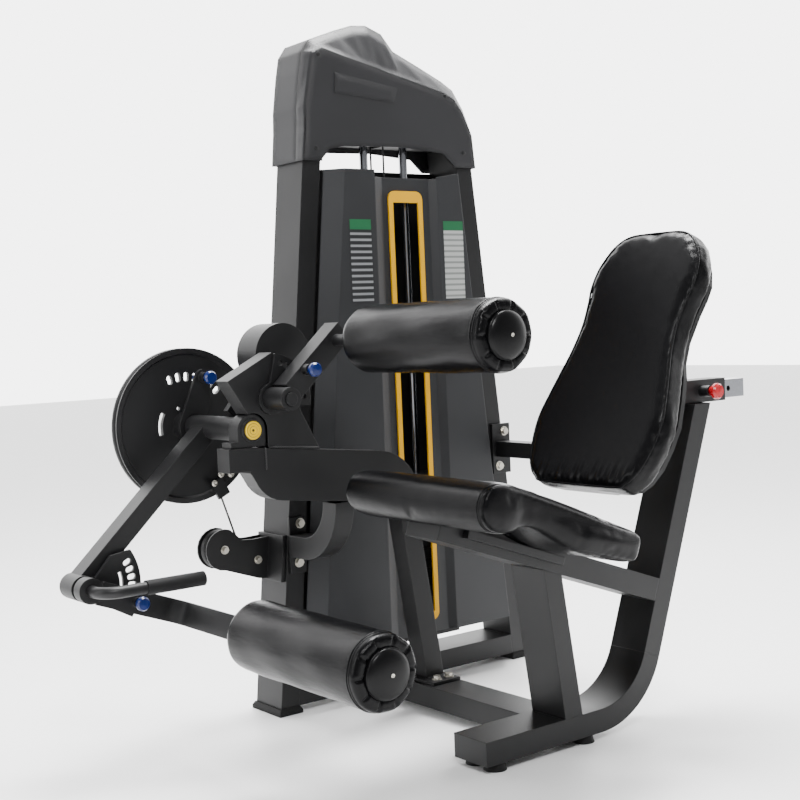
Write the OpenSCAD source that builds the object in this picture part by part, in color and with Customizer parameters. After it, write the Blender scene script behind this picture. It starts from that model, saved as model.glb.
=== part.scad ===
// Selectorised seated leg extension machine, millimetres, +Z up.
// The user faces -X. The weight tower stands at +Y, the seat unit at -Y.

/* [Tower] */
// Middle of the weight tower along X
tower_x = 180; // [170:1:190]
// Front face of the two uprights
tower_front = 345; // [340:1:350]
// Depth of an upright
upright_d = 110; // [100:1:110]
// Width of an upright
upright_w = 50; // [45:1:55]
// Half of the tower's width at the floor
tower_half = 391; // [385:1:395]
// How far an upright leans inward for each millimetre of height
tower_lean = 0.1017; // [0.095:0.0005:0.105]
// Top of the uprights
upright_top = 1388; // [1370:1:1395]

/* [Weight stack] */
// Middle of the stack along X
stack_x = 187; // [180:1:192]
// Middle of the stack along Y
stack_y = 384; // [383:1:385]
// Thickness of one weight plate
plate_t = 25; // [20:1:26]
// Plates that stay down
plates_low = 9; // [5:1:10]
// Plates that are lifted
plates_high = 6; // [3:1:6]

/* [Leg arm] */
// Height of the main pivot
pivot_z = 691; // [688:1:694]
// Place of the main pivot along X
pivot_x = -373; // [-375:1:-371]
// Radius of the cam disc
cam_r = 177; // [170:1:178]
// Angle of the arm below the horizontal
arm_drop = 43.2; // [42:0.1:44]
// Distance from the main pivot to the lever's pivot
arm_len = 450; // [440:1:455]
// Distance from the lever's pivot to the roller shaft
lever_len = 218; // [210:1:222]
// Slope of the lever below the horizontal
lever_drop = 20.9; // [18:0.1:23]

/* [Rollers] */
// Radius of a roller pad
roller_r = 70; // [60:1:72]
// Length of a roller pad
roller_len = 440; // [420:5:440]

/* [Seat] */
// Middle of the seat along Y
seat_y = -250; // [-255:1:-245]
// Width of the seat tubes along Y
tube_w = 100; // [90:2:110]
// Height of the seat tubes
tube_h = 50; // [45:1:50]
// Lean of the back column from the vertical
column_lean = 20; // [19:0.5:21]
// Slope of the seat beam
beam_drop = 19.5; // [18.5:0.5:20]
// Width of the seat pad
seat_w = 450; // [430:5:450]
// Radius of the roll at the seat's front edge
seat_roll_r = 44; // [42:1:46]

/* [Thigh pad] */
// Place of the thigh pad arm's pivot along X
pad_pivot_x = -325; // [-327:1:-323]
// Height of the thigh pad arm's pivot
pad_pivot_z = 755; // [753:1:757]
// Distance from that pivot to the upper roller's shaft
pad_arm_len = 177; // [172:1:180]
// Rise of the thigh pad arm above the horizontal
pad_arm_rise = 41.8; // [40:0.1:44]

/* [Hidden] */
$fn = 64;
eps = 0.01;
wall = 3;
fit = 0.05;
cam_y = 436;                    // plane of the cable
upright_back = tower_front + upright_d;
floor_gap = 16;                 // height of the feet
base_top = 66;
cap_low = 1292;                 // lower edge of the cap
cap_front_y = 332;
cap_mid_y = 366;                // seam between its halves
cap_back_y = 468;
shroud_top = 1272;
shroud_low = 130;
front_y = 297;                  // outer face of the shroud
recess_y = 310;                 // face of its recess
slot_x = 190;                   // middle of the viewing slot
rod_gap = 61;                   // guide rod from the stack's middle
rod_r = 10;
shaft_r = 12.5;
pin_r = 6;
bracket_y0 = 141;               // near face of the bracket box
bracket_y1 = 191;
arm_y0 = 310;                   // near face of the swing arm
arm_y1 = 360;
sleeve_x = pivot_x - arm_len * cos(arm_drop);
sleeve_z = pivot_z - arm_len * sin(arm_drop);
sleeve_r = 27;
lever_y = 269;                  // middle of the lever bar
lever_sleeve_y0 = 262;
lever_sleeve_y1 = 304.5;
low_x = sleeve_x + lever_len * cos(lever_drop);
low_z = sleeve_z - lever_len * sin(lever_drop);
up_x = pad_pivot_x + pad_arm_len * cos(pad_arm_rise);
up_z = pad_pivot_z + pad_arm_len * sin(pad_arm_rise);
roller_y0 = seat_y - roller_len / 2;
roller_y1 = seat_y + roller_len / 2;
cap_out = 25;                   // how far a roller's end dome stands out
pad_arm_y0 = 78;
pad_arm_y1 = 128;
beam_y0 = seat_y - tube_w / 2;
beam_y1 = seat_y + tube_w / 2;
bend_x = 187;                   // centre of the bend in the seat tube
bend_r = 147;                   // its inner radius
bend_z = base_top + bend_r;
seat_x = -230;                  // middle of the seat's front roll
seat_z = 558;
pulley_r = 42;
pulley_a = [-300, 397];
pulley_b = [-212, 362];
small_r = 22;                    // radius of the small guide pulley
pulley_c = [stack_x - pulley_r - 2.5, pulley_b[1] - small_r + pulley_r];
top_pulley_r = 26;
top_pulley_z = 1412;
cable_r = 2.5;
selector_r = 112;               // circle of the cam's selector holes
selector_step = 11;
selector_home = 76;             // angle of the selector pin
sector_r = 106;                 // circle of the lever sector's holes
sector_step = 9;
pad_hole_r = 78;                // circle of the thigh pad's holes
pad_hole_step = 12;
slide_z = 719;                  // middle of the back slide
anchor_angle = -64;             // where the cable is clamped to the cam
cable_anchor = [pivot_x + 187 * cos(anchor_angle), pivot_z + 187 * sin(anchor_angle)];

// ---- helpers ----

function unit(v) = v / norm(v);
function polar(c, r, a) = [c[0] + r * cos(a), c[1] + r * sin(a)];
function arc(c, r, a0, a1, n) = [for (i = [0:n]) polar(c, r, a0 + (a1 - a0) * i / n)];

// Inside of a four-cornered tube section p, whose ends are its edges 0-1 and 2-3.
// k is the wall as a share of the end's width, e is how far it runs past the ends.
function core(p, k, e) =
    let (s = unit(p[3] - p[0]), r = unit(p[2] - p[1]))
    [p[0] + (p[1] - p[0]) * k - s * e[0], p[1] - (p[1] - p[0]) * k - r * e[0],
     p[2] + (p[3] - p[2]) * k + r * e[1], p[3] - (p[3] - p[2]) * k + s * e[1]];

// A flat outline in X and Z, made thick from y0 to y1
module slab(y0, y1) translate([0, y1, 0]) rotate([90, 0, 0]) linear_extrude(y1 - y0) children();

// A hollow tube whose side view is the four-cornered outline p
module member(p, y0, y1, k = 0.06, e = [1, 1]) difference() {
    slab(y0, y1) polygon(p);
    slab(y0 + wall, y1 - wall) polygon(core(p, k, e));
}

// A round bar along Y from y0 to y1
module rod_y(x, z, r, y0, y1) translate([x, y1, z]) rotate([90, 0, 0]) cylinder(r = r, h = y1 - y0);

// A bar along X
module rod_x(x0, x1, y, z, r) translate([x0, y, z]) rotate([0, 90, 0]) cylinder(r = r, h = x1 - x0);

// A slot with round ends that points away from c, cut right through the cam's plane
module radial_slot(c, at, a, r, half) translate([c[0], 500, c[1]]) rotate([90, 0, 0]) rotate([0, 0, a]) {
    for (s = [-1, 1]) translate([at + s * half, 0, 0]) cylinder(r = r, h = 220);
    translate([at - half, -r * 0.98, 0]) cube([2 * half, 2 * r * 0.98, 220]);
}

// A hexagon head with its washer, on a face that looks along -Y
module hex_head(x, y, z, r = 9) {
    rod_y(x, z, r + 3, y - 2, y);
    translate([x, y - 2, z]) rotate([90, 0, 0]) cylinder(r = r, h = 7, $fn = 6);
}

// A hexagon head on a face that looks up
module hex_head_up(x, y, z, r = 9) {
    translate([x, y, z]) cylinder(r = r + 3, h = 2);
    translate([x, y, z + 2]) cylinder(r = r, h = 7, $fn = 6);
}

// A tube of radius r swept along the points p, with n sides
module sweep(p, r, n = 8) {
    m = len(p);
    dirs = [for (i = [0:m - 1]) unit(p[min(i + 1, m - 1)] - p[max(i - 1, 0)])];
    ref = [0.3, 0.9, 0.31];
    rings = [for (i = [0:m - 1]) let (u = unit(cross(dirs[i], ref)), v = cross(dirs[i], u))
        for (j = [0:n - 1]) p[i] + r * (cos(360 * j / n) * u + sin(360 * j / n) * v)];
    sides = [for (i = [0:m - 2]) for (j = [0:n - 1])
        [i * n + j, i * n + (j + 1) % n, (i + 1) * n + (j + 1) % n, (i + 1) * n + j]];
    ends = [[for (j = [n - 1:-1:0]) j], [for (j = [0:n - 1]) (m - 1) * n + j]];
    polyhedron(rings, [for (f = concat(sides, ends)) [for (i = [len(f) - 1:-1:0]) f[i]]]);
}

// ---- tower ----

function side_x(s, z) = tower_x + s * (tower_half - tower_lean * z);

module upright(s) {
    z0 = floor_gap;
    z1 = upright_top;
    outline = s < 0
        ? [[side_x(s, z0), z0], [side_x(s, z0) + upright_w, z0],
           [side_x(s, z1) + upright_w, z1], [side_x(s, z1), z1]]
        : [[side_x(s, z0) - upright_w, z0], [side_x(s, z0), z0],
           [side_x(s, z1), z1], [side_x(s, z1) - upright_w, z1]];
    member(outline, tower_front, upright_back);
}

module left_upright() color([0.13, 0.13, 0.14]) difference() {
    upright(-1);
    rod_x(-240, -60, cam_y, pulley_b[1] - small_r - cable_r, 8);
}

module right_upright() color([0.13, 0.13, 0.14]) upright(1);

module base_beam() color([0.13, 0.13, 0.14]) {
    in_l = side_x(-1, 0) + upright_w + tower_lean * floor_gap;
    in_r = side_x(1, 0) - upright_w - tower_lean * floor_gap;
    z1 = base_top - floor_gap;
    slope = tower_lean * z1;
    difference() {
        slab(tower_front, upright_back)
            polygon([[in_l, floor_gap], [in_r, floor_gap], [in_r - slope, base_top], [in_l + slope, base_top]]);
        translate([in_l + 20, tower_front + wall, floor_gap + wall])
            cube([in_r - in_l - 40, upright_d - 2 * wall, z1 - 2 * wall]);
    }
    // post that carries the base pulley
    translate([pulley_c[0] - 20, 447.6, base_top]) cube([40, 4.2, 330]);
    rod_y(pulley_c[0], pulley_c[1], 6, 424, 447.6 + eps);
}

module top_beam() color([0.13, 0.13, 0.14]) {
    z0 = 1345;
    h = 35;
    in_l = side_x(-1, z0) + upright_w;
    in_r = side_x(1, z0) - upright_w;
    difference() {
        slab(348, 452) polygon([[in_l, z0], [in_r, z0], [in_r - tower_lean * h, z0 + h], [in_l + tower_lean * h, z0 + h]]);
        for (s = [-1, 1]) translate([stack_x + s * rod_gap, stack_y, z0 - 1]) cylinder(r = rod_r + fit, h = h + 2);
        translate([stack_x - 14, stack_y - 8, z0 - 1]) cube([28, 68, h + 2]);
    }
    // ears of the top pulley
    for (s = [-1, 1]) translate([stack_x + s * 17 - 3, 385, z0 + h]) cube([6, 46, 50]);
    rod_x(stack_x - 20, stack_x + 20, cam_y - top_pulley_r, top_pulley_z, 6);
}

// A strip of sheet between two parallel leaning lines, given as [x, y] at z0, that shift by dx up to z1
module chamfer(a, b, dx, z0, z1, t) hull() for (k = [0, 1])
    translate([k * dx, 0, k ? z1 - eps : z0]) linear_extrude(eps) polygon([a, b, b + [0, t], a + [0, t]]);

module front_shroud() color([0.2, 0.2, 0.21]) difference() {
    lean = tower_lean * (shroud_top - shroud_low);
    edge = tower_front - 9;
    t = 3;
    inner = [85, 115, 274, 292];            // edges of the recess at the foot
    shift = 8;                              // how far they lean inward
    union() {
        for (s = [-1, 1]) let (x0 = side_x(s, shroud_low), f = s < 0 ? inner[0] : inner[3]) {
            slab(front_y, front_y + t) polygon([[x0 - s * 88, shroud_low], [f, shroud_low],
                [f - s * shift, s < 0 ? shroud_top : shroud_top - 12], [x0 - s * (88 + lean), shroud_top]]);
            chamfer([x0 - s * 54, edge], [x0 - s * 88, front_y], -s * lean, shroud_low, shroud_top, t);
            chamfer([f, front_y], [s < 0 ? inner[1] : inner[2], recess_y], -s * shift, shroud_low, shroud_top - 16, t);
        }
        slab(recess_y, recess_y + t) polygon([[inner[1], shroud_low], [inner[2], shroud_low],
            [inner[2] - shift, shroud_top - 16], [inner[1] + shift, shroud_top - 16]]);
    }
    translate([slot_x - 48, 280, 190]) cube([96, 60, 1020]);
}

module rear_shroud() color([0.13, 0.13, 0.14]) slab(452, 455) polygon([for (q = [[-1, shroud_low], [1, shroud_low],
    [1, 1288], [-1, 1288]]) [side_x(q[0], q[1]) - q[0] * upright_w, q[1]]]);

module slot_trim() color([0.95, 0.78, 0.22]) difference() {
    w = 52;
    c = 20;
    low = 161;
    high = 1224;
    slab(recess_y - 5, recess_y) polygon(concat(arc([slot_x + w - c, high - c], c, 0, 90, 8),
        arc([slot_x - w + c, high - c], c, 90, 180, 8), arc([slot_x - w + c, low + c], c, 180, 270, 8),
        arc([slot_x + w - c, low + c], c, 270, 360, 8)));
    translate([slot_x - 38.5, recess_y - 6, low + 23]) cube([77, 7, high - low - 51]);
}

// Outline of the cap at its front crease and at its ridge, as [x, z], from the left foot to the right foot
crease = [[-86, 1292], [-78, 1368], [-76, 1417], [-60, 1499], [-50, 1545], [-23, 1559], [60, 1541], [105, 1532],
    [140, 1525], [180, 1516], [215, 1509], [295, 1492], [352, 1479], [384, 1464], [410, 1432], [438, 1376], [446, 1292]];
ridge = [[-86, 1292], [-79, 1368], [-77, 1417], [-65, 1499], [-55, 1550], [-34, 1579], [40, 1608], [92, 1625],
    [135, 1629], [182, 1613], [217, 1574], [304, 1539], [368, 1512], [404, 1492], [436, 1446], [446, 1376], [452, 1292]];

function pulled_in(p, g, z = 0) = [for (q = p) [q[0] + (q[0] < tower_x ? g : -g), q[1] <= cap_low ? q[1] : q[1] - g - z]];

// A solid through rings of [x, z] points at the given y, closed at both ends
module loft(rings, ys) {
    n = len(rings[0]);
    m = len(rings);
    polyhedron([for (k = [0:m - 1]) for (q = rings[k]) [q[0], ys[k], q[1]]],
        concat([[for (i = [0:n - 1]) i]], [[for (i = [n - 1:-1:0]) (m - 1) * n + i]],
            [for (k = [0:m - 2]) for (i = [0:n - 1]) let (a = k * n + i, b = k * n + (i + 1) % n)
                each [[a, a + n, b], [b, a + n, b + n]]]));
}

// The arch between the cap's two feet
module cap_arch() slab(300, 500) polygon([[-32, 1250], [-32, 1297], [-9, 1321], [35, 1330], [206, 1335],
    [337, 1325], [381, 1287], [381, 1250]]);

module cap_front() color([0.24, 0.24, 0.25]) difference() {
    loft([pulled_in(crease, 3), crease, ridge], [cap_front_y, cap_front_y + 4, cap_mid_y]);
    loft([pulled_in(crease, 4, 8), pulled_in(ridge, 4, 12)], [cap_front_y + 4, cap_mid_y + 1]);
    cap_arch();
    translate([-100, 300, cap_low - 10]) cube([600, 200, 10.2]);
}

module cap_rear() color([0.24, 0.24, 0.25]) difference() {
    slab(cap_mid_y + 0.5, cap_back_y) polygon(ridge);
    slab(cap_mid_y, cap_back_y - 4) polygon(pulled_in(ridge, 4));
    cap_arch();
    translate([-100, 300, cap_low - 10]) cube([600, 200, 10.2]);
}

module guide_rods() color([0.8, 0.8, 0.82]) for (s = [-1, 1])
    translate([stack_x + s * rod_gap, stack_y, base_top]) cylinder(r = rod_r, h = 1345 + 35 - base_top);

module rubber_feet() color([0.08, 0.08, 0.08]) {
    // flared boots under the uprights
    for (s = [-1, 1]) translate([side_x(s, 0) - s * upright_w / 2, tower_front + upright_d / 2, 0])
        hull() {
            translate([-32, -62, 0]) cube([64, 124, 8]);
            translate([-27, -57, 8]) cube([54, 114, 8]);
        }
    // pads under the seat frame
    for (p = [[-100, beam_y0 + 22], [-100, beam_y1 - 22], [150, beam_y0 + 22], [150, beam_y1 - 22]])
        translate([p[0], p[1], 0]) cylinder(r1 = 24, r2 = 20, h = floor_gap);
}

// ---- seat frame ----

// Foot of the seat frame with its bend, one bent tube
module foot_tube() color([0.13, 0.13, 0.14]) {
    member([[-140, floor_gap], [-140, base_top], [bend_x, base_top], [bend_x, floor_gap]], beam_y0, beam_y1, 0.06, [-4, 1]);
    translate([bend_x, 0, bend_z]) rotate([90, 0, 0]) translate([0, 0, -beam_y1])
        rotate([0, 0, -90]) rotate_extrude(angle = 90 - column_lean) difference() {
            translate([bend_r, 0]) square([tube_h, tube_w]);
            translate([bend_r + wall, wall]) square([tube_h - 2 * wall, tube_w - 2 * wall]);
        }
}

function column_at(r, z) = let (p = polar([bend_x, bend_z], r, -column_lean))
    [p[0] + (z - p[1]) * tan(column_lean), z];

module back_column() color([0.13, 0.13, 0.14]) {
    a = polar([bend_x, bend_z], bend_r, -column_lean);
    b = polar([bend_x, bend_z], bend_r + tube_h, -column_lean);
    member([a, b, column_at(bend_r + tube_h, 693), column_at(bend_r, 693)], beam_y0, beam_y1);
}

// Point on the seat beam's lower face at distance t from its front end
function beam_low(t) = [-243 + t * cos(beam_drop), 485 - t * sin(beam_drop)];
function beam_high(t) = beam_low(t) + tube_h * [sin(beam_drop), cos(beam_drop)];
function column_t(h) = let (a = beam_low(0) + h * [sin(beam_drop), cos(beam_drop)],
    q = column_at(bend_r, 300), d = [cos(beam_drop), -sin(beam_drop)], c = [tan(column_lean), 1])
    ((q[0] - a[0]) * c[1] - (q[1] - a[1]) * c[0]) / (d[0] * c[1] - d[1] * c[0]);

module seat_beam() color([0.13, 0.13, 0.14])
    member([beam_low(0), beam_high(0), beam_high(column_t(tube_h) - 0.1), beam_low(column_t(0) - 0.1)],
        beam_y0, beam_y1, 0.06, [-4, 1]);

module front_leg() color([0.13, 0.13, 0.14]) {
    t = tan(beam_drop);
    zl = function(x) 485 - (x + 243) * t;
    member([[79.5, base_top], [129.5, base_top], [83, zl(83)], [33, zl(33)]], beam_y0, beam_y1);
}

// One of the two tubes from the seat frame to the tower
module link_tube(x, z, w, h) difference() {
    translate([x, beam_y1, z]) cube([w, tower_front - 8 - beam_y1, h]);
    translate([x + wall, beam_y1 - 1, z + wall]) cube([w - 2 * wall, tower_front - beam_y1, h - 2 * wall]);
}

module connecting_beams() color([0.13, 0.13, 0.14]) {
    link_tube(42, floor_gap, 90, tube_h);
    link_tube(480, 545, 40, 40);
}

module beam_strut() color([0.13, 0.13, 0.14])
    member([[66, base_top + 8.2], [116, base_top + 8.2], [52, 508], [2, 508]], bracket_y0, bracket_y1);

// Two flat bars beside the seat beam that carry the seat's board
module seat_rails() color([0.1, 0.1, 0.1]) for (y = [beam_y0 - 16, beam_y1]) slab(y, y + 16) {
    down = [sin(beam_drop), cos(beam_drop)];
    polygon([beam_high(60) - 32 * down, beam_high(60) - 14 * down, beam_high(330) - 14 * down, beam_high(330) - 32 * down]);
}

module seat_pad() color([0.06, 0.06, 0.065]) difference() {
    union() {
        rod_y(seat_x, seat_z, seat_roll_r, seat_y - seat_w / 2, seat_y + seat_w / 2);
        difference() {
            slab(seat_y - seat_w / 2 + 4, seat_y + seat_w / 2 - 4) polygon([[seat_x - 20, seat_z - 38],
                [seat_x + 16, seat_z + 41], [-85, 558], [123, 473], [158, 450], [140, 404], [-13, 448], [-138, 512]]);
            rod_y(seat_x, seat_z, seat_roll_r, seat_y - seat_w / 2 + 3, seat_y + seat_w / 2 - 3);
        }
    }
    // channel over the seat beam
    slab(beam_y0 - 0.5, beam_y1 + 0.5) polygon([beam_low(-20), beam_high(-20) + [0, 0.4], beam_high(430) + [0, 0.4], beam_low(430)]);
}

// ---- bracket, post and bearings ----

module bracket_box() color([0.13, 0.13, 0.14]) {
    translate([-434, bracket_y0, 605]) difference() {
        cube([51, 50, 50]);
        translate([wall, wall, wall]) cube([51, 44, 44]);
    }
    slab(bracket_y0, bracket_y1) polygon(concat([[-383, 655], [-383, 600]],
        arc([-298, 615], 81, 205, 262, 6), [[-208, 522], [-120, 512.2], [16, 508.2], [66, 508.2]],
        arc([-52, 500], 118, 8, 84, 7)));
}

module arc_tube() color([0.13, 0.13, 0.14]) {
    r_in = 90;
    cz = 512 - 0.2;
    translate([-171, bracket_y1 + r_in, cz]) rotate([90, 0, 90]) rotate([0, 0, 180])
        rotate_extrude(angle = 90, $fn = 96) difference() {
            translate([r_in, 0]) square([50, 50]);
            translate([r_in + wall, wall]) square([50 - 2 * wall, 50 - 2 * wall]);
        }
    translate([-171, bracket_y1 + r_in, cz - r_in - 50]) difference() {
        cube([50, tower_front - 8 - bracket_y1 - r_in, 50]);
        translate([wall, -1, wall]) cube([44, 200, 44]);
    }
}

module flange_plates() color([0.15, 0.15, 0.16]) {
    translate([-169, tower_front - 8, 330]) cube([44, 8, 132]);       // arc tube to upright
    translate([470, tower_front - 8, 500]) cube([60, 8, 130]);        // cross tube to upright
    translate([32, tower_front - 8, floor_gap]) cube([110, 8, 50]);   // connecting beam to tower
    translate([50, 98, base_top + 0.1]) cube([80, 98, 8]);            // strut's foot plate
}

module hex_bolts() color([0.75, 0.73, 0.68]) {
    for (p = [[-140, 447], [-147, 356], [510, 610], [490, 520]]) hex_head(p[0], tower_front - 8, p[1]);
    for (x = [76, 112]) hex_head_up(x, 118, base_top + 8.1);
    for (p = [pulley_a, pulley_b]) hex_head(p[0], 414, p[1], 7);
}

module pad_post() color([0.13, 0.13, 0.14]) difference() {
    member([[-335, 650.2], [-205, 636], [-318, 853], [-429, 797]], bracket_y0, bracket_y1, 0.035, [1, -4]);
    // room for the front bearing
    rod_y(pivot_x, pivot_z, 36, 130, 200);
    translate([pivot_x - 60, 130, 640]) cube([95.5, 70, pivot_z - 640]);
}

module pad_sector() color([0.15, 0.15, 0.16]) {
    y0 = 133;
    difference() {
        slab(y0, bracket_y0) polygon(concat(arc([pad_pivot_x, pad_pivot_z], 96, -12, 84, 12),
            arc([pad_pivot_x, pad_pivot_z], 34, 100, 330, 10)));
        for (i = [-4:2]) let (p = polar([pad_pivot_x, pad_pivot_z], pad_hole_r, 49 + i * pad_hole_step))
            rod_y(p[0], p[1], 6.5, y0 - 1, bracket_y0 + 1);
    }
    rod_y(pad_pivot_x, pad_pivot_z, 14, 58, y0 + eps);
}

module block_outline(w) union() {
    translate([pivot_x, 0, 0]) {
        translate([-w, 655.1]) square([w + 33, 12]);
        translate([-34, 660]) square([68, 31]);
        translate([0, pivot_z]) circle(r = 34);
    }
}

module front_bearing() color([0.1, 0.1, 0.1]) difference() {
    union() {
        slab(147, 185) block_outline(52);
        rod_y(pivot_x, pivot_z, 25, 143, 187);
    }
    rod_y(pivot_x, pivot_z, shaft_r + fit, 140, 190);
    rod_y(pivot_x, pivot_z, 20, 140, 150);
}

module bearing_cap() color([0.95, 0.85, 0.1]) translate([pivot_x, 149.9, pivot_z]) rotate([90, 0, 0])
    rotate_extrude() polygon([[0, 0], [19.8, 0], [19.8, 10], [18, 11.5], [16, 11.5], [16, 10], [14, 10], [14, 11.5],
        [10, 11.5], [10, 10], [8.5, 10], [8.5, 11.5], [4, 11.5], [3, 9], [0, 9]]);

module rear_bearing() color([0.13, 0.13, 0.14]) {
    difference() {
        union() {
            slab(457, 493) block_outline(50);
            translate([-430, 456, 605]) cube([325, 39, 50]);
        }
        rod_y(pivot_x, pivot_z, shaft_r + fit, 450, 500);
        translate([-427, 459, 608]) cube([325, 33, 44]);
    }
}

module bracket_plate(y) {
    slab(y, y + 4) polygon(concat(arc(pulley_a, 48, 70, 270, 12),
        [[pulley_b[0], 318], [-182, 314], [-173, 414], [pulley_b[0] - 10, 412], [pulley_b[0] - 40, 414]]));
}

module pulley_bracket() color([0.13, 0.13, 0.14]) {
    bracket_plate(414);
    bracket_plate(454);
    for (p = [pulley_a, pulley_b]) rod_y(p[0], p[1], 6, 417, 455);
    difference() {
        slab(352, 462) polygon([[side_x(-1, 312) - 10, 312], [side_x(-1, 312) - 0.2, 312],
            [side_x(-1, 420) - 0.2, 420], [side_x(-1, 420) - 10, 420]]);
        rod_x(-240, -60, cam_y, pulley_b[1] - small_r - cable_r, 8);
    }
}

module slide_sleeve() color([0.1, 0.1, 0.1]) difference() {
    union() {
        translate([440, seat_y - 26, slide_z - 26]) cube([214, 52, 52]);
        rod_y(572, slide_z, 13, seat_y - 52, seat_y - 26 + eps);
    }
    translate([430, seat_y - 21.1, slide_z - 21.1]) cube([240, 42.2, 42.2]);
    rod_y(572, slide_z, pin_r + fit, seat_y - 60, seat_y - 20);
}

// ---- cam and swing arm ----

module cam_disc() color([0.12, 0.12, 0.13]) {
    difference() {
        translate([pivot_x, cam_y, pivot_z]) rotate([90, 0, 0]) rotate_extrude($fn = 128)
            polygon([[shaft_r, -6], [30, -6], [cam_r - 16, -5], [cam_r - 12, -12], [cam_r, -12], [cam_r - 1, -6],
                [cam_r - 8, -2.5], [cam_r - 8, 2.5], [cam_r - 1, 6], [cam_r, 12], [cam_r - 12, 12],
                [cam_r - 16, 5], [34, 5], [32, 28], [shaft_r, 28]]);
        for (i = [-3:3]) let (a = selector_home + i * selector_step)
            radial_slot([pivot_x, pivot_z], selector_r, a, 6.5, 4);
        translate([pivot_x, 470, pivot_z]) rotate([90, 0, 0]) rotate([0, 0, 150]) rotate_extrude(angle = 45)
            translate([60, 0]) square([11, 70]);
        rod_y(pivot_x - 18, pivot_z + 41, 4.5, 400, 470);
    }
    // clamp that holds the cable's end, near face of the rim
    let (c = polar([pivot_x, pivot_z], 168, anchor_angle))
        translate([c[0], 0, c[1]]) rotate([0, 90 - anchor_angle - 90, 0]) translate([-22, 416, -16]) cube([42, 8.2, 32]);
}

module pivot_shaft() color([0.6, 0.6, 0.62]) rod_y(pivot_x, pivot_z, shaft_r, 150.5, 495);

module swing_arm() color([0.13, 0.13, 0.14]) {
    dir = [-cos(arm_drop), -sin(arm_drop)];
    side = 20 * [sin(arm_drop), -cos(arm_drop)];
    a = [pivot_x, pivot_z] + 14 * dir;
    b = [pivot_x, pivot_z] + (arm_len - 12) * dir;
    difference() {
        union() {
            rod_y(pivot_x, pivot_z, 26, 187.5, 403);
            member([a + side, a - side, b - side, b + side], arm_y0, arm_y1, 0.075);
            rod_y(sleeve_x, sleeve_z, sleeve_r, 301, 362);
        }
        rod_y(pivot_x, pivot_z, shaft_r + fit, 180, 410);
    }
    rod_y(sleeve_x, sleeve_z, 10, 272, 301 + eps);
}

module counterweight() color([0.2, 0.2, 0.21]) {
    a = 51;
    r = 198;
    c = polar([pivot_x, pivot_z], r, a);
    difference() {
        union() {
            translate([pivot_x, 0, pivot_z]) rotate([0, -a, 0]) translate([26, 232, -30]) cube([r - 80, 18, 60]);
            rod_y(c[0], c[1], 70, 205, 285);
        }
        rod_y(pivot_x, pivot_z, 26.02, 190, 300);
    }
}

module arm_selector() color([0.13, 0.13, 0.14]) {
    p = polar([pivot_x, pivot_z], selector_r, selector_home);
    difference() {
        union() {
            slab(392, 400) hull() {
                translate([pivot_x, pivot_z]) circle(r = 38);
                translate(p) circle(r = 19);
            }
            rod_y(p[0], p[1], 12, 376, 392 + eps);
        }
        rod_y(pivot_x, pivot_z, 26.02, 380, 410);
        rod_y(p[0], p[1], pin_r + fit, 370, 410);
    }
}

module lever_sector() color([0.13, 0.13, 0.14]) {
    c = [sleeve_x, sleeve_z];
    difference() {
        slab(293, 301) polygon(concat(arc(c, 126, -36, 33, 12), [c + [60, 62], c + [24, 22]], arc(c, 30, 60, -60, 6)));
        for (i = [-1:5]) radial_slot(c, sector_r, -lever_drop + i * sector_step, 6.3, 3.5);
        translate([c[0], 305, c[1]]) rotate([90, 0, 0]) rotate([0, 0, -8]) rotate_extrude(angle = 26)
            translate([78, 0]) square([8, 20]);
        rod_y(sleeve_x, sleeve_z, 10, 290, 305);
    }
}

// ---- lever and rollers ----

module lever_bar() color([0.15, 0.15, 0.16]) {
    bend = 35;
    pin = [sleeve_x + sector_r * cos(lever_drop), sleeve_z - sector_r * sin(lever_drop)];
    difference() {
        union() {
            rod_y(sleeve_x, sleeve_z, sleeve_r, lever_sleeve_y0, 290.5);
            translate([sleeve_x, 0, sleeve_z]) rotate([0, lever_drop, 0]) {
                translate([sleeve_r - 6, lever_y - 5, -25]) cube([lever_len - bend - sleeve_r + 6, 10, 50]);
                translate([lever_len - bend, lever_y - bend, -25]) rotate_extrude(angle = 90)
                    translate([bend - 5, 0]) square([10, 50]);
                translate([lever_len - 5, -14, -25]) cube([10, lever_y - bend + 14, 50]);
            }
            rod_y(pin[0], pin[1], 11, 252, 264 + eps);
        }
        rod_y(sleeve_x, sleeve_z, 10 + fit, 270, 310);
        rod_y(pin[0], pin[1], pin_r + fit, 245, 290);
    }
}

module roller_shaft() color([0.75, 0.75, 0.77]) {
    rod_y(low_x, low_z, shaft_r, roller_y0 + 6, -20);
    rod_y(low_x, low_z, 24, -20, -14);
}

// Handle rod out of the lever's sleeve, bent towards the seat
module handle_rod() color([0.15, 0.15, 0.16]) {
    rod_y(sleeve_x, sleeve_z, 12.5, 250, lever_sleeve_y0);
    translate([sleeve_x + 42, 250, sleeve_z]) rotate([0, 0, 180]) rotate_extrude(angle = 90)
        translate([42, 0]) circle(r = 12.5);
    rod_x(sleeve_x + 42, sleeve_x + 225, 208, sleeve_z, 12.5);
}

module handle_grip() color([0.09, 0.09, 0.09]) difference() {
    rod_x(sleeve_x + 95, sleeve_x + 229, 208, sleeve_z, 15.5);
    rod_x(sleeve_x + 90, sleeve_x + 225, 208, sleeve_z, 12.5);
}

module roller(x, z) difference() {
    union() {
        rod_y(x, z, roller_r, roller_y0, roller_y1);
        translate([x, roller_y0, z]) rotate([90, 0, 0]) cylinder(r1 = 46, r2 = 18, h = cap_out);
    }
    rod_y(x, z, shaft_r + fit, roller_y0 + 5, roller_y1 + 1);
}

module lower_roller() color([0.06, 0.06, 0.065]) roller(low_x, low_z);
module upper_roller() color([0.06, 0.06, 0.065]) roller(up_x, up_z);

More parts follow.
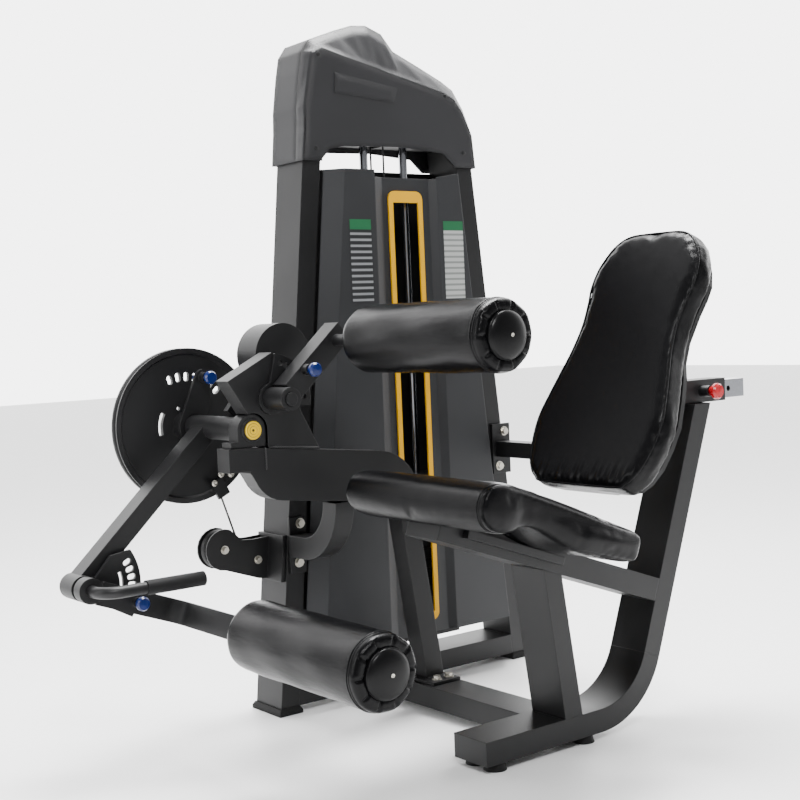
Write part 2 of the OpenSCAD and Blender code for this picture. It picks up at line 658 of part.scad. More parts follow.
module pad_arm() color([0.13, 0.13, 0.14]) {
    dir = [cos(pad_arm_rise), sin(pad_arm_rise)];
    side = 24 * [-sin(pad_arm_rise), cos(pad_arm_rise)];
    a = [pad_pivot_x, pad_pivot_z] + 18 * dir;
    b = [pad_pivot_x, pad_pivot_z] + (pad_arm_len + 30) * dir;
    pin = polar([pad_pivot_x, pad_pivot_z], pad_hole_r, 49);
    difference() {
        union() {
            rod_y(pad_pivot_x, pad_pivot_z, 25, 62, 132.5);
            slab(pad_arm_y0, pad_arm_y1) polygon([a - side, b - side, b + side, a + side]);
            rod_y(pin[0], pin[1], 12, 62, pad_arm_y0 + eps);
        }
        translate([pad_pivot_x, 0, pad_pivot_z]) rotate([0, -pad_arm_rise, 0])
            translate([30, pad_arm_y0 + wall, -20]) cube([30, pad_arm_y1 - pad_arm_y0 - 2 * wall, 40]);
        rod_y(pad_pivot_x, pad_pivot_z, 14 + fit, 50, 140);
        rod_y(pin[0], pin[1], pin_r + fit, 50, 140);
    }
    rod_y(up_x, up_z, shaft_r, roller_y0 + 6, pad_arm_y0 + eps);
    rod_y(up_x, up_z, 20, -26, -20);
}

// A pull pin along Y: knob at y0, shank to y1
module pull_pin(x, z, y0, y1, knob_r = 15) {
    translate([x, y0 + 24, z]) rotate([90, 0, 0]) rotate_extrude() polygon([[0, 0], [knob_r * 0.6, 0],
        [knob_r * 0.72, 5], [knob_r, 12], [knob_r, 18], [knob_r * 0.8, 23], [0, 24]]);
    rod_y(x, z, pin_r, y0 + 24 - eps, y1);
}

module arm_pin() color([0, 0.16, 0.5]) let (p = polar([pivot_x, pivot_z], selector_r, selector_home))
    pull_pin(p[0], p[1], 350, 440);
module lever_pin() color([0, 0.16, 0.5])
    pull_pin(sleeve_x + sector_r * cos(lever_drop), sleeve_z - sector_r * sin(lever_drop), 226, 300);
module pad_pin() color([0, 0.16, 0.5]) let (p = polar([pad_pivot_x, pad_pivot_z], pad_hole_r, 49))
    pull_pin(p[0], p[1], 36, 140);
module back_pin() color([0.85, 0.1, 0.15]) pull_pin(572, slide_z, seat_y - 78, seat_y - 14, 18);
module stack_pin() color([0.1, 0.1, 0.1])
    pull_pin(stack_x, stack_pin_z, 316, stack_y + 11, 12);

// ---- backrest ----

module slide_tube() color([0.85, 0.85, 0.87]) difference() {
    translate([366, seat_y - 21, slide_z - 21]) cube([362, 42, 42]);
    translate([365, seat_y - 18, slide_z - 18]) cube([357, 36, 36]);
    for (i = [-1:5]) rod_y(572 + i * 20, slide_z, pin_r + 0.5, seat_y - 30, seat_y - 10);
}

// The backrest's own plane: u along its height, v out of its face
back_lean = 27.7;
module back_place() translate([179, seat_y, 542]) rotate([0, back_lean, 0]) children();

// Half-width of the backrest at each height
back_shape = [[0, 110], [8, 142], [25, 162], [60, 180], [107, 189], [156, 191], [215, 180], [268, 166], [325, 152],
    [376, 145], [440, 150], [480, 157], [510, 158], [545, 146], [580, 128], [606, 104], [618, 84], [620, 60]];

module back_outline(g) polygon(concat([for (p = back_shape) [p[0] + (p[0] < 300 ? g : -g), p[1] - g]],
    [for (i = [len(back_shape) - 1:-1:0]) let (p = back_shape[i]) [p[0] + (p[0] < 300 ? g : -g), g - p[1]]]));

module back_pad() color([0.06, 0.06, 0.065]) back_place()
    rotate([0, -90, 0]) translate([0, 0, -58]) linear_extrude(58) back_outline(0);

module back_plate() color([0.1, 0.1, 0.1]) {
    back_place() rotate([0, -90, 0]) translate([0, 0, -70]) linear_extrude(11.8) back_outline(12);
    difference() {
        translate([320, seat_y - 30, slide_z - 30]) cube([80, 60, 60]);
        translate([366, seat_y - 21, slide_z - 21]) cube([50, 42, 42]);
        back_place() translate([-200, -250, 0]) cube([270, 500, 700]);
    }
}

// ---- stack and cables ----

plate_w = 300;
plate_d = 80;
stack_z = 110;
stack_pin_z = stack_z + (plates_low + 0.5) * plate_t + 2;

module weight_plate(z) difference() {
    translate([stack_x - plate_w / 2, stack_y - plate_d / 2, z]) cube([plate_w, plate_d, plate_t - 0.5]);
    for (s = [-1, 1]) translate([stack_x + s * rod_gap, stack_y, z - 1]) cylinder(r = rod_r + 1, h = plate_t + 2);
    translate([stack_x, stack_y, z - 1]) cylinder(r = 13, h = plate_t + 2);
    rod_y(stack_x, z + plate_t / 2, pin_r + 0.5, stack_y - 60, stack_y);
}

module plates_resting() color([0.16, 0.16, 0.17]) {
    for (i = [0:plates_low - 1]) weight_plate(stack_z + i * plate_t);
    // rubber buffers on the base
    for (s = [-1, 1]) difference() {
        translate([stack_x + s * rod_gap, stack_y, base_top]) cylinder(r = 22, h = stack_z - base_top);
        translate([stack_x + s * rod_gap, stack_y, base_top - 1]) cylinder(r = rod_r + 0.5, h = 60);
    }
}

module plates_lifted() color([0.16, 0.16, 0.17])
    for (i = [0:plates_high - 1]) weight_plate(stack_z + 2 + (plates_low + i) * plate_t);

stack_top_z = stack_z + 2 + (plates_low + plates_high) * plate_t;

module stack_top() color([0.2, 0.2, 0.21]) difference() {
    union() {
        translate([stack_x - plate_w / 2, stack_y - plate_d / 2, stack_top_z]) cube([plate_w, plate_d, 35]);
        translate([stack_x, stack_y, stack_z + 2 + plates_low * plate_t]) cylinder(r = 12.4, h = 1 + stack_top_z - stack_z - plates_low * plate_t);
        translate([stack_x, stack_y, stack_top_z + 34]) cylinder(r1 = 14, r2 = 5, h = 30);
    }
    for (s = [-1, 1]) translate([stack_x + s * rod_gap, stack_y, stack_top_z - 1]) cylinder(r = rod_r + 0.08, h = 40);
    rod_y(stack_x, stack_pin_z, pin_r + 0.5, stack_y - 60, stack_y + 60);
}

module grooved_wheel(r, w) rotate([90, 0, 0]) rotate_extrude() polygon([[6 + fit, -w / 2], [r + 3, -w / 2],
    [r, -3], [r - 2.5, 0], [r, 3], [r + 3, w / 2], [6 + fit, w / 2]]);

module pulley_left() color([0.1, 0.1, 0.1]) translate([pulley_a[0], cam_y, pulley_a[1]]) grooved_wheel(pulley_r, 18);
module pulley_right() color([0.1, 0.1, 0.1]) translate([pulley_b[0], cam_y, pulley_b[1]]) grooved_wheel(small_r, 18);
module pulley_base() color([0.1, 0.1, 0.1]) translate([pulley_c[0], cam_y, pulley_c[1]]) grooved_wheel(pulley_r, 18);
module pulley_top() color([0.1, 0.1, 0.1])
    translate([stack_x, cam_y - top_pulley_r, top_pulley_z]) rotate([0, 0, 90]) grooved_wheel(top_pulley_r - cable_r, 22);

pitch = pulley_r + cable_r;
top_pitch = top_pulley_r;

module arm_cable() color([0.05, 0.05, 0.05]) sweep(concat(
    [[cable_anchor[0], cam_y, cable_anchor[1]], [pulley_b[0] - small_r - cable_r, cam_y, pulley_b[1]]],
    [for (a = [210:30:270]) let (p = polar(pulley_b, small_r + cable_r, a)) [p[0], cam_y, p[1]]],
    [for (x = [-150:70:60]) [x, cam_y, pulley_b[1] - small_r - cable_r]],
    [for (a = [270:15:360]) let (p = polar(pulley_c, pitch, a)) [p[0], cam_y, p[1]]],
    [for (z = [450:150:1350]) [stack_x, cam_y, z]],
    [for (a = [0:15:165]) [stack_x, cam_y - top_pulley_r + top_pitch * cos(a), top_pulley_z + top_pitch * sin(a)]]), cable_r);

module stack_cable() color([0.05, 0.05, 0.05])
    translate([stack_x, stack_y, stack_top_z + 64]) cylinder(r = cable_r, h = top_pulley_z - stack_top_z - 65);

// ---- assembly ----
left_upright();
right_upright();
base_beam();
top_beam();
front_shroud();
rear_shroud();
slot_trim();
cap_front();
cap_rear();
guide_rods();
rubber_feet();
foot_tube();
back_column();
seat_beam();
front_leg();
connecting_beams();
beam_strut();
bracket_box();
arc_tube();
flange_plates();
hex_bolts();
pad_post();
pad_sector();
front_bearing();
bearing_cap();
rear_bearing();
pulley_bracket();
seat_pad();
seat_rails();
slide_sleeve();
cam_disc();
pivot_shaft();
swing_arm();
counterweight();
arm_selector();
lever_sector();
arm_pin();
lever_pin();
pad_pin();
back_pin();
stack_pin();
lever_bar();
roller_shaft();
handle_rod();
handle_grip();
lower_roller();
upper_roller();
pad_arm();
slide_tube();
back_plate();
back_pad();
plates_lifted();
plates_resting();
stack_top();
pulley_left();
pulley_right();
pulley_base();
pulley_top();
arm_cable();
stack_cable();
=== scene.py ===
"""Seated leg extension machine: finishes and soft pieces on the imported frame."""

import math

import bmesh
import bpy
import numpy as np
from mathutils import Matrix, Vector


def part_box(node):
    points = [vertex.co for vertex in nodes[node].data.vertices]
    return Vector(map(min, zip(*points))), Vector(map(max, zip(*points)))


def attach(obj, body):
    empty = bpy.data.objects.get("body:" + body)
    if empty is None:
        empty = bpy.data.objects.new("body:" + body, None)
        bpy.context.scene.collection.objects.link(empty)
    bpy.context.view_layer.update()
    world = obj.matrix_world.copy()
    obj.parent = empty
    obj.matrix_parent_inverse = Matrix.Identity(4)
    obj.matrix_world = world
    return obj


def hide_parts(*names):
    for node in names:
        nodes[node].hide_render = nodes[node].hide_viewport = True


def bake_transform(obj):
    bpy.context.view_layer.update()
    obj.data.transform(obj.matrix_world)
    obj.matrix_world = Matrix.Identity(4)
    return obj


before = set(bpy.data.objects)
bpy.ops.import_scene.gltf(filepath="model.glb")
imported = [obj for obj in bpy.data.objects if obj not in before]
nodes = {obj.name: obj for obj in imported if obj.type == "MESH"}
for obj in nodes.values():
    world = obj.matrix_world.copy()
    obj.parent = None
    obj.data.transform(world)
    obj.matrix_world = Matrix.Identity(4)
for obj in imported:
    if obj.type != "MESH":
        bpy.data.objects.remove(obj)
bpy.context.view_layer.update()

# ---- Camera ----
# It stands to the left of the seat's front, a little above the seat, and looks slightly down.
# Its turn, dip and roll belong to a lens of about 60 mm on a sensor 36 mm wide.

TURN, DIP, ROLL = (math.radians(a) for a in (37.54, 3.22, 2.46))
LENS_MM, SENSOR_MM, FARTHEST = 60.23, 36.0, 30.0
CAMERA_AT = (-1.840, -2.280, 0.900)
forward = np.array([math.sin(TURN) * math.cos(DIP), math.cos(TURN) * math.cos(DIP), -math.sin(DIP)])
level_right = np.array([math.cos(TURN), -math.sin(TURN), 0.0])
level_up = np.cross(level_right, forward)
camera_x = math.cos(ROLL) * level_right - math.sin(ROLL) * level_up
camera_y = math.sin(ROLL) * level_right + math.cos(ROLL) * level_up
camera = bpy.data.objects.new("camera", bpy.data.cameras.new("camera"))
camera.data.lens, camera.data.sensor_width, camera.data.clip_end = LENS_MM, SENSOR_MM, FARTHEST
camera.matrix_world = Matrix([
    [camera_x[0], camera_y[0], -forward[0], CAMERA_AT[0]],
    [camera_x[1], camera_y[1], -forward[1], CAMERA_AT[1]],
    [camera_x[2], camera_y[2], -forward[2], CAMERA_AT[2]],
    [0, 0, 0, 1]])
bpy.context.scene.collection.objects.link(camera)
bpy.context.scene.camera = camera


# ---- Studio ----
# A pale floor in a soft white room, which is bright ahead of the camera and dim behind it.
# A key lamp and a tall strip stand at the left, and a broad lamp hangs overhead.


def mesh_object(name, points, faces, smooth=True):
    """A linked object whose mesh has these points and faces, with normals made to face outwards."""
    mesh = bpy.data.meshes.new(name)
    mesh.from_pydata(np.asarray(points, float).reshape(-1, 3).tolist(), [], [list(map(int, f)) for f in faces])
    tidy = bmesh.new()
    tidy.from_mesh(mesh)
    bmesh.ops.remove_doubles(tidy, verts=tidy.verts, dist=1e-6)
    bmesh.ops.recalc_face_normals(tidy, faces=tidy.faces)
    tidy.to_mesh(mesh)
    tidy.free()
    mesh.polygons.foreach_set("use_smooth", [smooth] * len(mesh.polygons))
    obj = bpy.data.objects.new(name, mesh)
    bpy.context.scene.collection.objects.link(obj)
    return obj


def grain_group():
    """Shared effect: two noises of different size give a mottled colour, a roughness and a fine height."""
    group = bpy.data.node_groups.new("fine_grain", "ShaderNodeTree")
    face = group.interface
    for label, kind, value in (
            ("Colour", "NodeSocketColor", (0.1, 0.1, 0.1, 1)), ("Light", "NodeSocketColor", (0.2, 0.2, 0.2, 1)),
            ("Grain Scale", "NodeSocketFloat", 900.0), ("Patch Scale", "NodeSocketFloat", 9.0),
            ("Roughness", "NodeSocketFloat", 0.5), ("Spread", "NodeSocketFloat", 0.1)):
        face.new_socket(label, in_out="INPUT", socket_type=kind).default_value = value
    for label, kind in (("Colour", "NodeSocketColor"), ("Roughness", "NodeSocketFloat"),
                        ("Height", "NodeSocketFloat")):
        face.new_socket(label, in_out="OUTPUT", socket_type=kind)
    tree, link = group.nodes, group.links.new
    inside, out = tree.new("NodeGroupInput"), tree.new("NodeGroupOutput")
    place = tree.new("ShaderNodeTexCoord")
    fine, patch = tree.new("ShaderNodeTexNoise"), tree.new("ShaderNodeTexNoise")
    fine.inputs["Detail"].default_value = 2.0
    patch.inputs["Detail"].default_value = 4.0
    for noise, scale in ((fine, "Grain Scale"), (patch, "Patch Scale")):
        link(place.outputs["Object"], noise.inputs["Vector"])
        link(inside.outputs[scale], noise.inputs["Scale"])
    both = tree.new("ShaderNodeMath")
    both.operation = "MULTIPLY"
    link(fine.outputs["Fac"], both.inputs[0])
    link(patch.outputs["Fac"], both.inputs[1])
    mix = tree.new("ShaderNodeMix")
    mix.data_type = "RGBA"
    link(both.outputs[0], mix.inputs["Factor"])
    link(inside.outputs["Colour"], mix.inputs["A"])
    link(inside.outputs["Light"], mix.inputs["B"])
    link(mix.outputs["Result"], out.inputs["Colour"])
    spread = tree.new("ShaderNodeMath")
    spread.operation = "MULTIPLY_ADD"
    link(patch.outputs["Fac"], spread.inputs[0])
    link(inside.outputs["Spread"], spread.inputs[1])
    link(inside.outputs["Roughness"], spread.inputs[2])
    link(spread.outputs[0], out.inputs["Roughness"])
    link(fine.outputs["Fac"], out.inputs["Height"])
    return group


fine_grain = grain_group()


def srgb(r, g, b):
    """A colour given as it looks on a screen, from 0 to 255, as linear light."""
    return tuple(((v / 255 + 0.055) / 1.055) ** 2.4 if v > 10 else v / 255 / 12.92 for v in (r, g, b)) + (1.0,)


def finish(name, colour, light, roughness, spread=0.1, grain=900.0, patch=9.0, bump=0.05, metallic=0.0,
           specular=0.5, edge=0.0):
    """A material: the shared grain feeds a Principled shader, and its height a small bump.
    colour and light are the two tones of the mottle, grain and patch the scales of its two noises, and spread
    is how far the patches change the roughness. With edge, the light falls on sharp edges as if they were
    rounded with that radius in metres."""
    grain_height = 0.0006
    made = bpy.data.materials.new(name)
    made.use_nodes = True
    tree = made.node_tree.nodes
    shader = tree["Principled BSDF"]
    texture = tree.new("ShaderNodeGroup")
    texture.node_tree = fine_grain
    for label, value in (("Colour", colour), ("Light", light), ("Grain Scale", grain), ("Patch Scale", patch),
                         ("Roughness", roughness), ("Spread", spread)):
        texture.inputs[label].default_value = value
    raise_up = tree.new("ShaderNodeBump")
    raise_up.inputs["Strength"].default_value = bump
    raise_up.inputs["Distance"].default_value = grain_height
    link = made.node_tree.links.new
    link(texture.outputs["Colour"], shader.inputs["Base Color"])
    link(texture.outputs["Roughness"], shader.inputs["Roughness"])
    link(texture.outputs["Height"], raise_up.inputs["Height"])
    link(raise_up.outputs["Normal"], shader.inputs["Normal"])
    if edge:
        rounded = tree.new("ShaderNodeBevel")
        rounded.samples = 4
        rounded.inputs["Radius"].default_value = edge
        link(rounded.outputs["Normal"], raise_up.inputs["Normal"])
    shader.inputs["Metallic"].default_value = metallic
    shader.inputs["Specular IOR Level"].default_value = specular
    return made


FLOOR_REACH, FLOOR_Z = 16, -0.0005
floor_corners = [[x * FLOOR_REACH, y * FLOOR_REACH, FLOOR_Z] for x, y in ((-1, -1), (1, -1), (1, 1), (-1, 1))]
floor = mesh_object("floor", floor_corners, [[0, 1, 2, 3]], smooth=False)
floor.data.materials.append(finish("studio_floor", srgb(248, 248, 248), srgb(255, 255, 255), roughness=0.45,
                                   spread=0.05, grain=40.0, patch=3.0, bump=0.0))
room = bpy.data.worlds.new("room")
room.use_nodes = True
room_nodes, room_link = room.node_tree.nodes, room.node_tree.links.new
backdrop = room_nodes["Background"]
backdrop.inputs["Color"].default_value = (1, 1, 1, 1)
heading, facing, strength = (room_nodes.new(kind) for kind in (
    "ShaderNodeTexCoord", "ShaderNodeVectorMath", "ShaderNodeMapRange"))
AHEAD = (0.609, 0.793, 0.0)  # the level direction in which the camera looks
facing.operation = "DOT_PRODUCT"
facing.inputs[1].default_value = AHEAD
strength.interpolation_type = "SMOOTHSTEP"
for socket, value in (("From Min", 0.05), ("From Max", 0.65), ("To Min", 0.36), ("To Max", 5.5)):
    strength.inputs[socket].default_value = value
room_link(heading.outputs["Generated"], facing.inputs[0])
room_link(facing.outputs["Value"], strength.inputs["Value"])
room_link(strength.outputs["Result"], backdrop.inputs["Strength"])
bpy.context.scene.world = room


def softbox(name, place, target, size, power):
    """A rectangular area light at place that looks at target: size in metres, power in watts."""
    lamp = bpy.data.lights.new(name, "AREA")
    lamp.shape, (lamp.size, lamp.size_y), lamp.energy = "RECTANGLE", size, power
    obj = bpy.data.objects.new(name, lamp)
    obj.location = place
    obj.rotation_euler = (Vector(target) - Vector(place)).to_track_quat("-Z", "Y").to_euler()
    bpy.context.scene.collection.objects.link(obj)


softbox("key", (-1.4, -2.2, 2.9), (0.0, 0.0, 0.7), (0.9, 0.7), 85.0)
softbox("side", (-3.0, 0.4, 1.6), (0.0, 0.0, 0.7), (0.6, 2.0), 40.0)
softbox("top", (0.6, 0.6, 3.6), (0.2, 0.0, 0.4), (1.5, 1.1), 330.0)

# ---- Tower frame ----
# Two leaning uprights of steel tube on flared rubber boots, with a base beam and a top beam.
# Black powder coat with a fine orange-peel texture.


def paint_over(material, *names):
    """Gives CAD nodes this material in place of their plain one."""
    for name in names:
        mesh = nodes[name].data
        mesh.materials.clear()
        mesh.materials.append(material)


black_paint = finish("black_powder_coat", srgb(12, 12, 13), srgb(24, 24, 26), roughness=0.4, spread=0.14,
                     grain=1100.0, patch=7.0, bump=0.16, specular=0.35, edge=0.003)
paint_over(black_paint, "left_upright", "right_upright", "base_beam", "top_beam", "rear_shroud")
boot_rubber = finish("boot_rubber", srgb(14, 14, 14), srgb(26, 26, 26), roughness=0.62, spread=0.12,
                     grain=500.0, patch=12.0, bump=0.3, specular=0.25)
paint_over(boot_rubber, "rubber_feet")

# ---- Weight stack ----
# Painted cast-iron plates slide on two chrome rods, and a pin picks how many of them rise.
# A 5 mm steel cable in black nylon lifts them: it runs from the cam, under two plastic pulleys,
# up the tower and over a third one.

chrome = finish("chrome", srgb(150, 152, 158), srgb(200, 202, 206), roughness=0.14, spread=0.08,
                grain=300.0, patch=6.0, bump=0.02, metallic=1.0)
plate_iron = finish("plate_iron", srgb(16, 16, 17), srgb(30, 30, 31), roughness=0.45, spread=0.15,
                    grain=260.0, patch=9.0, bump=0.4, specular=0.3)
black_plastic = finish("black_plastic", srgb(14, 14, 15), srgb(24, 24, 25), roughness=0.35, spread=0.12,
                       grain=800.0, patch=9.0, bump=0.08, specular=0.35)
cable_nylon = finish("cable_nylon", srgb(18, 18, 19), srgb(44, 44, 46), roughness=0.3, spread=0.1,
                     grain=900.0, patch=9.0, bump=0.2)
paint_over(chrome, "guide_rods")
paint_over(plate_iron, "plates_resting", "plates_lifted", "stack_top")
paint_over(black_plastic, "stack_pin", "pulley_left", "pulley_right", "pulley_base", "pulley_top")
paint_over(cable_nylon, "stack_cable", "arm_cable")


def grid_faces(rows, cols, close_rows, close_cols):
    """Quads of a rows x cols grid of points; a closed direction joins its last line to its first."""
    i = np.arange(rows if close_rows else rows - 1)
    j = np.arange(cols if close_cols else cols - 1)
    i, j = np.meshgrid(i, j, indexing="ij")
    i2, j2 = (i + 1) % rows, (j + 1) % cols
    return np.stack([i * cols + j, i * cols + j2, i2 * cols + j2, i2 * cols + j], -1).reshape(-1, 4)


def cord_along(name, path, radius, closed=False, sides=10, swell=None):
    """A round cord, a circle carried along the path: at angle a, path + radius * (cos a * across + sin a * up),
    where across and up stand square to the path. swell(t) may scale the radius for t from 0 to 1."""
    path = np.asarray(path, float)
    ahead = np.roll(path, -1, 0) - np.roll(path, 1, 0) if closed else np.gradient(path, axis=0)
    ahead /= np.linalg.norm(ahead, axis=1, keepdims=True)
    guide = np.eye(3)[np.argmin(np.abs(ahead).sum(0))]
    across = np.cross(ahead, guide)
    across /= np.linalg.norm(across, axis=1, keepdims=True)
    up = np.cross(across, ahead)
    angle = np.linspace(0, 2 * np.pi, sides, endpoint=False)
    size = radius * (swell(np.linspace(0, 1, len(path))) if swell else np.ones(len(path)))[:, None, None]
    points = path[:, None] + size * (np.cos(angle)[None, :, None] * across[:, None]
                                     + np.sin(angle)[None, :, None] * up[:, None])
    faces = grid_faces(len(path), sides, closed, True).tolist()
    if not closed:
        faces += [list(range(sides))[::-1], list(range((len(path) - 1) * sides, len(path) * sides))]
    return mesh_object(name, points, faces)


CABLE_R = 0.0025


def cable_piece(name, path, node):
    """One stretch of the 5 mm cable, as a round cord carried along its path."""
    path = np.asarray(path, float)
    piece = cord_along(name, path, CABLE_R)
    piece.data.materials.append(cable_nylon)
    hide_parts(node)
    return piece


# From the top pulley down to the stack, as one fixed cord; on the machine its lower end rises with the plates
# and its upper end stays.
(low_x, low_y, low_z), (high_x, high_y, high_z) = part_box("stack_cable")
DROP_POINTS = 80
drop = np.stack([np.full(DROP_POINTS, (low_x + high_x) / 2), np.full(DROP_POINTS, (low_y + high_y) / 2),
                 np.linspace(high_z, low_z, DROP_POINTS)], -1)
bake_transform(cable_piece("stack_cable_drop", drop, "stack_cable"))

# From the cam's clamp to the guide pulley, as one fixed cord with close points in its first part, the part that
# on the machine winds on the rim as the cam turns.
clamp, guide, guide_r = np.array([-0.2910, 0.436, 0.5229]), np.array([-0.212, 0.436, 0.362]), 0.0245
leave = guide - [guide_r, 0, 0]
WINDING, FINE_POINTS = 0.16, 70  # the share of this run that winds, and its points
share = np.concatenate([np.linspace(0, WINDING, FINE_POINTS), np.linspace(WINDING, 1, 30)[1:]])
front_run = clamp + np.outer(share, leave - clamp)
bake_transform(cable_piece("cam_cable", front_run, "arm_cable"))

# Under the guide pulley, along to the base pulley, up the tower and over the top pulley.
base, base_r = np.array([0.1425, 0.436, 0.382]), 0.0445
top, top_r = np.array([0.187, 0.410, 1.412]), 0.026
under_turn, base_turn, over_turn = (np.radians(np.linspace(*span)) for span in (
    (180, 270, 14), (270, 360, 18), (0, 165, 26)))
under = guide + guide_r * np.stack([np.cos(under_turn), 0 * under_turn, np.sin(under_turn)], -1)
round_base = base + base_r * np.stack([np.cos(base_turn), 0 * base_turn, np.sin(base_turn)], -1)
over = top + top_r * np.stack([0 * over_turn, np.cos(over_turn), np.sin(over_turn)], -1)
along_floor = under[-1] + np.outer(np.linspace(0, 1, 16)[1:-1], round_base[0] - under[-1])
rise = round_base[-1] + np.outer(np.linspace(0, 1, 40)[1:-1], over[0] - round_base[-1])
tower_path = np.concatenate([under, along_floor, round_base, rise, over])
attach(cable_piece("tower_cable", tower_path, "arm_cable"), "frame")

# ---- Shroud ----
# One folded steel sheet in dark grey fine-texture paint, held between the two uprights.
# A yellow painted trim frames its viewing slot, and two printed sheets are stuck to its face.

shroud_paint = finish("shroud_paint", srgb(24, 25, 27), srgb(40, 41, 45), roughness=0.46, spread=0.14,
                      grain=1300.0, patch=6.0, bump=0.22, specular=0.4, edge=0.004)
yellow_paint = finish("yellow_paint", srgb(218, 160, 0), srgb(230, 174, 4), roughness=0.45, spread=0.1,
                      grain=900.0, patch=6.0, bump=0.06, specular=0.2, edge=0.002)
paint_over(shroud_paint, "front_shroud")
paint_over(yellow_paint, "slot_trim")


def label_material(name, band, body, bar):
    """A printed sheet: a band at the top, then pale bars on the body, cut by a wave along the sheet's V."""
    bar_pitch, bar_low, band_low = 0.036, 0.022, 0.88
    made = finish(name, body, body, roughness=0.35, spread=0.05, grain=600.0, patch=9.0, bump=0.02)
    tree, link = made.node_tree.nodes, made.node_tree.links.new
    place, split = tree.new("ShaderNodeUVMap"), tree.new("ShaderNodeSeparateXYZ")
    link(place.outputs["UV"], split.inputs[0])
    wave, limit, top = (tree.new("ShaderNodeMath") for _ in range(3))
    wave.operation, limit.operation, top.operation = "PINGPONG", "GREATER_THAN", "GREATER_THAN"
    for node, number in ((wave, bar_pitch), (limit, bar_low), (top, band_low)):
        node.inputs[1].default_value = number
    link(split.outputs["Y"], wave.inputs[0])
    link(wave.outputs[0], limit.inputs[0])
    link(split.outputs["Y"], top.inputs[0])
    bars, head = tree.new("ShaderNodeMix"), tree.new("ShaderNodeMix")
    bars.data_type = head.data_type = "RGBA"
    bars.inputs["A"].default_value, bars.inputs["B"].default_value = body, bar
    head.inputs["B"].default_value = band
    link(limit.outputs[0], bars.inputs["Factor"])
    link(top.outputs[0], head.inputs["Factor"])
    link(bars.outputs["Result"], head.inputs["A"])
    link(head.outputs["Result"], tree["Principled BSDF"].inputs["Base Color"])
    return made


SHEET_Y = 0.2966


def label(name, x0, x1, z0, z1, material):
    """A thin sheet on the shroud's face, with one UV square over its front."""
    corners = [[x, SHEET_Y, z] for x, z in ((x0, z0), (x1, z0), (x1, z1), (x0, z1))]
    obj = mesh_object(name, corners, [[0, 1, 2, 3]], smooth=False)
    layer = obj.data.uv_layers.new(name="sheet").data
    for corner, loop in enumerate(obj.data.polygons[0].loop_indices):
        point = obj.data.vertices[obj.data.loops[loop].vertex_index].co
        layer[loop].uv = ((point.x - x0) / (x1 - x0), (point.z - z0) / (z1 - z0))
    obj.data.materials.append(material)
    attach(obj, "frame")


BAND_GREEN = srgb(16, 92, 54)
label("label_left", 0.013, 0.075, 0.955, 1.153,
      label_material("label_dark", BAND_GREEN, srgb(22, 24, 26), srgb(130, 132, 134)))
label("label_right", 0.299, 0.362, 0.960, 1.152,
      label_material("label_pale", BAND_GREEN, srgb(168, 170, 168), srgb(120, 124, 122)))

# ---- Cap ----
# A front and a rear half of moulded charcoal plastic close the tower's head.
# Four black screws hold the front half, and a blank panel of the same plastic is set on it.

cap_plastic = finish("cap_plastic", srgb(24, 24, 26), srgb(40, 40, 43), roughness=0.42, spread=0.16,
                     grain=1500.0, patch=5.0, bump=0.3, specular=0.4, edge=0.022)
paint_over(cap_plastic, "cap_front", "cap_rear")
CAP_FACE_Y, PANEL_FRONT_Y, PANEL_BACK_Y = 0.332, 0.3306, 0.3325
panel_outline = [[0.014, 1.502], [0.200, 1.478], [0.189, 1.441], [0.011, 1.455]]
panel_points = [[x, y, z] for y in (PANEL_FRONT_Y, PANEL_BACK_Y) for x, z in panel_outline]
panel_sides = [[k, (k + 1) % 4, (k + 1) % 4 + 4, k + 4] for k in range(4)]
cap_panel = mesh_object("cap_panel", panel_points, [[3, 2, 1, 0], [4, 5, 6, 7]] + panel_sides, smooth=False)
cap_panel.data.materials.append(cap_plastic)
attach(cap_panel, "frame")


def round_head(name, x, y, z, radius, tall, material, body, hollow):
    """A screw head that faces -Y, turned about its axis: at angle b above its rim the dome is radius * cos b
    wide and tall * (0.4 + 0.6 * sin b) high. A socket of radius hollow is sunk into it."""
    around, sunk, floor_share = 24, 0.001, 0.3
    bow = np.linspace(0, np.pi / 2, 7)
    radii, out = radius * np.cos(bow), y - tall * (0.4 + 0.6 * np.sin(bow))
    keep = radii > hollow
    radii = np.concatenate([[radius], radii[keep], [hollow, hollow, 0]])
    out = np.concatenate([[y + sunk], out[keep], [y - tall, y - tall * floor_share, y - tall * floor_share]])
    angle = np.linspace(0, 2 * np.pi, around, endpoint=False)
    points = np.stack([x + radii[:, None] * np.cos(angle), np.repeat(out[:, None], around, 1),
                       z + radii[:, None] * np.sin(angle)], -1)
    obj = mesh_object(name, points, grid_faces(len(radii), around, False, True))
    obj.data.materials.append(material)
    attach(obj, body)


for number, (x, z) in enumerate(((-0.030, 1.540), (-0.048, 1.321), (0.405, 1.329), (0.352, 1.468))):
    round_head(f"cap_screw_{number}", x, CAP_FACE_Y, z, radius=0.0055, tall=0.0016, hollow=0.0024,
               material=black_plastic, body="frame")

# ---- Seat frame ----
# Steel tubes, most of them 50 x 100 mm, bent and welded, in the same black powder coat.
# Zinc-plated hexagon bolts go through the flanges that join it to the tower.

paint_over(black_paint, "foot_tube", "back_column", "seat_beam", "front_leg", "connecting_beams",
           "beam_strut", "seat_rails", "slide_sleeve", "flange_plates")
zinc = finish("zinc_plate", srgb(190, 186, 176), srgb(220, 217, 208), roughness=0.28, spread=0.15,
              grain=500.0, patch=14.0, bump=0.1, metallic=1.0)
paint_over(zinc, "hex_bolts")

# ---- Bracket, post and bearings ----
# A welded box and a post of steel tube carry the main pivot and the thigh pad's arm.
# The cast flange bearing has a yellow plastic cap, and painted weld beads show at the joints.

